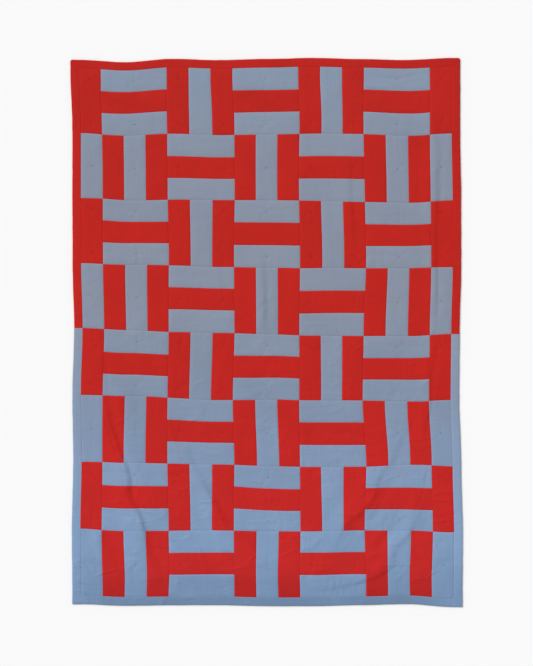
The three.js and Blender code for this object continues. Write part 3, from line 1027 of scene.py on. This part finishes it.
def threadMaterial(name, cloth):
    paint = Paint(bpy.data.materials.new(name))
    where = paint.add("ShaderNodeTexCoord", {}, {}, "Object")
    twist = paint.add(
        "ShaderNodeTexWave",
        {"wave_type": "BANDS", "bands_direction": "DIAGONAL"},
        {"Vector": where, "Scale": 0.3 / thread["twistPitch"], "Distortion": 1.5},
        "Fac",
    )
    # the thread follows its cotton's ramp, with the same painted cast and painted shade at the foot
    colour = headToFoot(paint, cloth, shareToFoot(paint, where), thread["brightness"])
    relief = {"Strength": 0.5, "Distance": thread["twistRelief"], "Height": twist}
    sockets = {
        # the twist's grooves are darkened as painted shade
        "Base Color": paint.mix(1.0, colour, 1.0 - twist * thread["grooveShade"], "MULTIPLY"),
        "Roughness": thread["roughness"],
        "Specular IOR Level": thread["specular"],
        "Normal": paint.add("ShaderNodeBump", {}, relief),
    }
    return paint.finish(paint.add("ShaderNodeBsdfPrincipled", {}, sockets))


class Recipe:  # a Geometry Nodes tree with named inputs, which sets one shape on every point
    def __init__(self, name, inputs):
        self.tree = bpy.data.node_groups.new(name, "GeometryNodeTree")
        self.tree.interface.new_socket("Geometry", in_out="INPUT", socket_type="NodeSocketGeometry")
        self.names = {}
        for label, value in inputs.items():
            kind = "NodeSocketMaterial" if isinstance(value, bpy.types.Material) else "NodeSocketFloat"
            socket = self.tree.interface.new_socket(label, in_out="INPUT", socket_type=kind)
            self.names[label] = socket.identifier
        self.tree.interface.new_socket("Geometry", in_out="OUTPUT", socket_type="NodeSocketGeometry")
        self.given = self.tree.nodes.new("NodeGroupInput").outputs
        self.values = inputs

    def add(self, kind, settings=None, sockets=None):
        node = self.tree.nodes.new(kind)
        for name, value in (settings or {}).items():
            setattr(node, name, value)
        for name, value in (sockets or {}).items():
            for one in value if isinstance(value, list) else [value]:
                if isinstance(one, bpy.types.NodeSocket):
                    self.tree.links.new(one, node.inputs[name])
                else:
                    node.inputs[name].default_value = one
        return node.outputs[0] if len(node.outputs) else None

    def scaled(self, label, factor):
        sockets = {0: self.given[label], 1: factor}
        return self.add("ShaderNodeMath", {"operation": "MULTIPLY"}, sockets)

    def vector(self, x, y, z):
        return self.add("ShaderNodeCombineXYZ", {}, {0: x, 1: y, 2: z})

    def attribute(self, name):
        return self.add("GeometryNodeInputNamedAttribute", {"data_type": "FLOAT"}, {"Name": name})

    def circle(self, corners, label):
        sockets = {"Resolution": corners, "Radius": self.given[label]}
        return self.add("GeometryNodeCurvePrimitiveCircle", {}, sockets)

    def bend(self, steps, start, middle, end):
        sockets = {"Resolution": steps, "Start": start, "Middle": middle, "End": end}
        return self.add("GeometryNodeCurveQuadraticBezier", {}, sockets)

    def sweep(self, curve, profile, capped):
        sockets = {"Curve": curve, "Profile Curve": profile, "Fill Caps": capped}
        return self.add("GeometryNodeCurveToMesh", {}, sockets)

    def onPoints(self, shape, scale=(1.0, 1.0, 1.0)):
        sockets = {
            "Points": self.given["Geometry"],
            "Instance": shape,
            "Rotation": self.vector(0.0, 0.0, self.attribute("turn")),
            "Scale": scale,
        }
        placed = self.add("GeometryNodeInstanceOnPoints", {}, sockets)
        real = self.add("GeometryNodeRealizeInstances", {}, {"Geometry": placed})
        sockets = {"Geometry": real, "Material": self.given["Material"]}
        made = self.add("GeometryNodeSetMaterial", {}, sockets)
        self.add("NodeGroupOutput", {}, {"Geometry": made})

    def grow(self, name, points, attributes):
        # runs the recipe on a cloud of points and hands back a plain mesh
        mesh = bpy.data.meshes.new(name)
        mesh.from_pydata(points, [], [])
        for attribute, values in attributes.items():
            mesh.attributes.new(attribute, "FLOAT", "POINT").data.foreach_set("value", values)
        seedObject = bpy.data.objects.new(name + "Seed", mesh)
        bpy.context.scene.collection.objects.link(seedObject)
        modifier = seedObject.modifiers.new(name, "NODES")
        modifier.node_group = self.tree
        for label, value in self.values.items():
            modifier[self.names[label]] = value
        evaluated = seedObject.evaluated_get(bpy.context.evaluated_depsgraph_get())
        plain = bpy.data.meshes.new_from_object(evaluated)
        plain.name = name
        piece = bpy.data.objects.new(name, plain)
        bpy.context.scene.collection.objects.link(piece)
        bpy.data.objects.remove(seedObject)
        return piece


def tieRecipe(material):
    sizes = {label: tie[label] for label in ("Thread radius", "Knot radius", "Tail length", "Tail rise")}
    recipe = Recipe("threadTie", {**sizes, "Material": material})
    profile = recipe.circle(6, "Thread radius")
    parts = []
    for loop in tie["loops"]:
        rotation = (loop["tilt"], 0.0, loop["turn"])
        sockets = {"Geometry": recipe.circle(10, "Knot radius"), "Rotation": rotation}
        parts.append(recipe.sweep(recipe.add("GeometryNodeTransform", {}, sockets), profile, False))
    for end in tie["ends"]:
        x, y = end["share"] * math.cos(end["heading"]), end["share"] * math.sin(end["heading"])
        middle = recipe.vector(
            recipe.scaled("Tail length", x * 0.4),
            recipe.scaled("Tail length", y * 0.4),
            recipe.given["Tail rise"],
        )
        tip = recipe.vector(
            recipe.scaled("Tail length", x),
            recipe.scaled("Tail length", y * 0.7),
            recipe.scaled("Tail rise", 0.35),
        )
        parts.append(recipe.sweep(recipe.bend(6, (0.0, 0.0, 0.0), middle, tip), profile, True))
    size = recipe.attribute("size")
    knot = recipe.add("GeometryNodeJoinGeometry", {}, {"Geometry": parts})
    recipe.onPoints(knot, recipe.vector(size, size, 1.0))
    return recipe


def railAt(u, v):
    for rail in rails:
        startU, startV = rail["start"]
        sizeU, sizeV = (quilt["railsPerBlock"], 1) if rail["runsAcross"] else (1, quilt["railsPerBlock"])
        if startU <= u < startU + sizeU and startV <= v < startV + sizeV:
            return rail


def tiePlaces(red):
    places = []
    firstU, firstV = quilt["firstTie"]
    for u in np.arange(firstU, railsAcross, quilt["tieSpacing"]):
        for v in np.arange(firstV, railsAlong, quilt["tieSpacing"]):
            rail = railAt(u, v)
            if rail["red"] == red:
                share = (v - rail["start"][1]) if rail["runsAcross"] else (u - rail["start"][0])
                seam = min(share, 1 - share) * quilt["railWidth"]
                x, y = place(np.array([u]), np.array([v]))
                z = topHeight(np.array([u]), np.array([v]), np.array([seam]), red)
                places.append((x[0], y[0], z[0] + tie["lift"]))
    return places


def addTies(name, red, material):
    places = tiePlaces(red)
    dice = np.random.default_rng(tie["seed"] + red)
    turns = dice.uniform(0, 2 * math.pi, len(places))
    sizes = dice.uniform(tie["smallest"], tie["largest"], len(places))
    return tieRecipe(material).grow(name, places, {"turn": turns, "size": sizes})


blueThread = threadMaterial("slateThread", blueCloth)
redThread = threadMaterial("deepRedThread", redCloth)
blueTies = addTies("tiesOnBlue", False, blueThread)
redTies = addTies("tiesOnRed", True, redThread)
print("ties knotted")


# Slip stitches that hold the binding's front edge down.
stitch = {
    "Thread radius": 0.00022,
    "Stitch length": 0.0026,
    "Stitch rise": 0.0005,
    "slant": 0.0006,
    "dip": 0.0004,
    "spacing": 0.0085,
    "height": 0.0050,
    "out": 0.0002,
    "fromEnds": 0.05,
}


def stitchRecipe(material):
    sizes = {label: stitch[label] for label in ("Thread radius", "Stitch length", "Stitch rise")}
    recipe = Recipe("slipStitch", {**sizes, "Material": material})
    start = recipe.vector(recipe.scaled("Stitch length", -0.5), -stitch["slant"], -stitch["dip"])
    middle = recipe.vector(0.0, 0.0, recipe.scaled("Stitch rise", 2.0))
    end = recipe.vector(recipe.scaled("Stitch length", 0.5), stitch["slant"], 0.0)
    arc = recipe.bend(3, start, middle, end)
    recipe.onPoints(recipe.sweep(arc, recipe.circle(4, "Thread radius"), True))
    return recipe


def addStitches(name, red, material):
    places, turns = [], []
    headings = {"foot": 0.0, "right": math.pi / 2, "head": math.pi, "left": -math.pi / 2}
    for strip in bindingStrips:
        if strip["red"] != red:
            continue
        first, last = strip["from"] + stitch["fromEnds"], strip["to"] - stitch["fromEnds"]
        count = int((strip["to"] - strip["from"]) * quilt["railWidth"] / stitch["spacing"])
        along = np.linspace(first, last, count)
        reach = np.full(count, stitch["out"] / quilt["railWidth"])
        x, y = place(*edgePlace(strip["side"], along, reach))
        places += [(*spot, stitch["height"]) for spot in zip(x, y)]
        turns += [headings[strip["side"]]] * count
    return stitchRecipe(material).grow(name, places, {"turn": np.array(turns)})


redStitches = addStitches("redBindingStitches", True, redThread)
blueStitches = addStitches("blueBindingStitches", False, blueThread)
print("binding stitched")


# Hide the solids that the pieces stand in for, and hang every piece on the root.
def joinFrame():
    width = quilt["railWidth"]
    railArea = quilt["railsPerBlock"] * width**2
    reds, blues = [redUpper, redLower], [blueUpper, blueLower]
    for piece in reds + blues:
        count = sum(inHalf(rail, piece in reds, piece in (redUpper, blueUpper)) for rail in rails)
        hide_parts("quilt_body")
        "red_cotton" if piece in reds else "blue_cotton"
        count * railArea
    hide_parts("quilt_body")
    for strip, piece in zip(bindingStrips, bindings):
        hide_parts(strip["node"])
        length = (strip["to"] - strip["from"]) * width + quilt["bindingWidth"]
    threads = [blueTies, redTies, redStitches, blueStitches]
    for piece in [*reds, *blues, fillingAndBack, *threads, *bindings]:
        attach(piece, "root")


joinFrame()


# The floor and the light. The sky pales towards the floor's far edge, so that they meet unseen.
room = {
    "floorSize": 400.0,
    "floorDrop": 0.0002,
    "floorColour": (0.873, 0.873, 0.873, 1.0),
    "floorCloud": (0.858, 0.858, 0.863, 1.0),
    "cloudShare": 0.05,
    "skyColour": (0.65, 0.65, 0.65, 1.0),
    "hazeColour": (0.955, 0.955, 0.955, 1.0),
    "hazeHeight": (0.12, 0.30),
    "sunStrength": 2.28,
    "sunAngle": 25.0,
    "sunTilt": 54.0,
    "sunTurn": -128.0,
}


def addFloor(r):
    paint = Paint(bpy.data.materials.new("paleFloor"))
    clouds = paint.noise(paint.add("ShaderNodeTexCoord", {}, {}, "Object"), 2.0)
    shade = paint.mix((clouds - 0.4) * r["cloudShare"], r["floorColour"], r["floorCloud"])
    sockets = {"Base Color": shade, "Roughness": 0.9, "Specular IOR Level": 0.1}
    material = paint.finish(paint.add("ShaderNodeBsdfPrincipled", {}, sockets))
    half, z = r["floorSize"] / 2, -r["floorDrop"]
    points = np.array([(-half, -half, z), (half, -half, z), (half, half, z), (-half, half, z)])
    makePiece("floor", points, np.array([[0, 1, 2, 3]]), material)


def addSky(r):
    sky = Paint(bpy.data.worlds.new("sky"))
    height = sky.part(sky.add("ShaderNodeTexCoord", {}, {}, "Generated"), 2)
    shade = sky.mix(height.between(*r["hazeHeight"]), r["hazeColour"], r["skyColour"])
    background = sky.add("ShaderNodeBackground", {}, {"Color": shade, "Strength": 1.0})
    bpy.context.scene.world = sky.finish(background, "ShaderNodeOutputWorld")


def addSun(r):
    light = bpy.data.lights.new("softSun", "SUN")
    light.energy = r["sunStrength"]
    light.angle = math.radians(r["sunAngle"])
    sun = bpy.data.objects.new("softSun", light)
    sun.rotation_euler = (math.radians(r["sunTilt"]), 0, math.radians(r["sunTurn"]))
    bpy.context.scene.collection.objects.link(sun)


addFloor(room)
addSky(room)
addSun(room)
bpy.context.scene.view_settings.view_transform = "Standard"
print("room lit")


def plain(box):
    return [[float(value) for value in corner] for corner in box]
